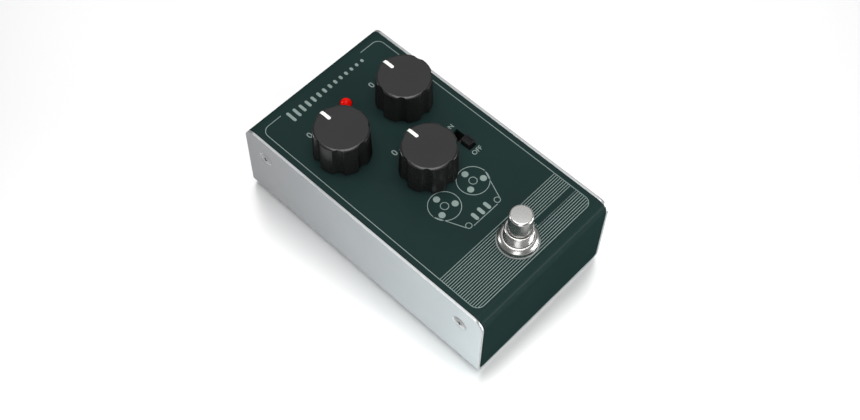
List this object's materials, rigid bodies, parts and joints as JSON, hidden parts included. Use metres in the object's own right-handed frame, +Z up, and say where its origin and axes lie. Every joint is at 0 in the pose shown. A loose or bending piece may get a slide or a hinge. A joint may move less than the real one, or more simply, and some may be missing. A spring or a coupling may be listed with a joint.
{
  "type": "tape echo pedal",
  "caption": "Compact echo effect pedal: folded painted cover on a folded aluminium base, fluted knobs, lamp, slide switch and a sprung foot switch.",
  "frame": {"origin": "on the floor under the middle of the part's overall box", "axes": "+X to the player's right, +Y to the rear, where the sockets are, +Z up out of the control panel"},
  "size_m": [0.074, 0.132, 0.0587],
  "materials": {
    "green_paint": "dark green satin paint with pale print",
    "bare_aluminium": "fine matt aluminium",
    "black_knob": "satin black moulding",
    "white_inlay": "white line",
    "red_lens": "clear red dome",
    "chrome": "bright chrome",
    "steel": "plated steel",
    "brass": "plated brass",
    "clear_nylon": "translucent washer",
    "rubber": "black rubber",
    "black_plastic": "black moulding",
    "blue_plastic": "blue moulding",
    "board_green": "circuit board",
    "dark_sleeve": "shrink sleeve",
    "grey_ribbon": "flat cable"
  },
  "bodies": {
    "chassis": {"base_chassis": "bare_aluminium", "board_capacitors": "dark_sleeve", "board_chips": "black_plastic", "corner_bracket_front_left": "steel", "corner_bracket_front_right": "steel", "corner_bracket_rear_left": "steel", "corner_bracket_rear_right": "steel", "dc_inlet_body": "black_plastic", "dc_inlet_pin": "steel", "delay_pot_case": "steel", "delay_pot_nut": "steel", "delay_pot_washer": "steel", "foot_front_left": "rubber", "foot_front_right": "rubber", "foot_rear_left": "rubber", "foot_rear_right": "rubber", "footswitch_board": "board_green", "footswitch_case": "blue_plastic", "footswitch_dress_nut": "chrome", "footswitch_frame": "chrome", "footswitch_inner_nut": "steel", "footswitch_lugs": "brass", "footswitch_washer": "clear_nylon", "input_jack_body": "black_plastic", "input_jack_contacts": "steel", "input_jack_nut": "black_plastic", "input_jack_washer": "steel", "led_leads": "steel", "led_lens": "red_lens", "level_pot_case": "steel", "level_pot_nut": "steel", "level_pot_washer": "steel", "main_board": "board_green", "output_jack_body": "black_plastic", "output_jack_contacts": "steel", "output_jack_nut": "black_plastic", "output_jack_washer": "steel", "repeat_pot_case": "steel", "repeat_pot_nut": "steel", "repeat_pot_washer": "steel", "ribbon_cable": "grey_ribbon", "side_screw_front_left": "steel", "side_screw_front_right": "steel", "side_screw_rear_left": "steel", "side_screw_rear_right": "steel", "slide_switch_base": "black_plastic", "slide_switch_can": "steel", "top_cover": "green_paint"},
    "delay_control": {"delay_shaft": "steel", "delay_knob": "black_knob", "delay_pointer": "white_inlay"},
    "level_control": {"level_shaft": "steel", "level_knob": "black_knob", "level_pointer": "white_inlay"},
    "repeat_control": {"repeat_shaft": "steel", "repeat_knob": "black_knob", "repeat_pointer": "white_inlay"},
    "mode_slider": {"slide_switch_slider": "black_plastic"},
    "foot_plunger": {"footswitch_plunger": "chrome"}
  },
  "joints": [
    {"name": "delay_turn", "type": "hinge", "parent": "chassis", "child": "delay_control", "pos_m": [-0.0176, 0.0267, 0.04], "axis": [0, 0, -1], "range_deg": [-150, 150]},
    {"name": "level_turn", "type": "hinge", "parent": "chassis", "child": "level_control", "pos_m": [0.0176, 0.0267, 0.04], "axis": [0, 0, -1], "range_deg": [-150, 150]},
    {"name": "repeat_turn", "type": "hinge", "parent": "chassis", "child": "repeat_control", "pos_m": [0, -0.0037, 0.04], "axis": [0, 0, -1], "range_deg": [-150, 150]},
    {"name": "mode_slide", "type": "slide", "parent": "chassis", "child": "mode_slider", "axis": [0, 1, 0], "range_m": [0, 0.005]},
    {"name": "foot_press", "type": "slide", "parent": "chassis", "child": "foot_plunger", "axis": [0, 0, -1], "range_m": [0, 0.004], "stiffness_N_per_m": 2000, "springref_m": -0.003}
  ]
}
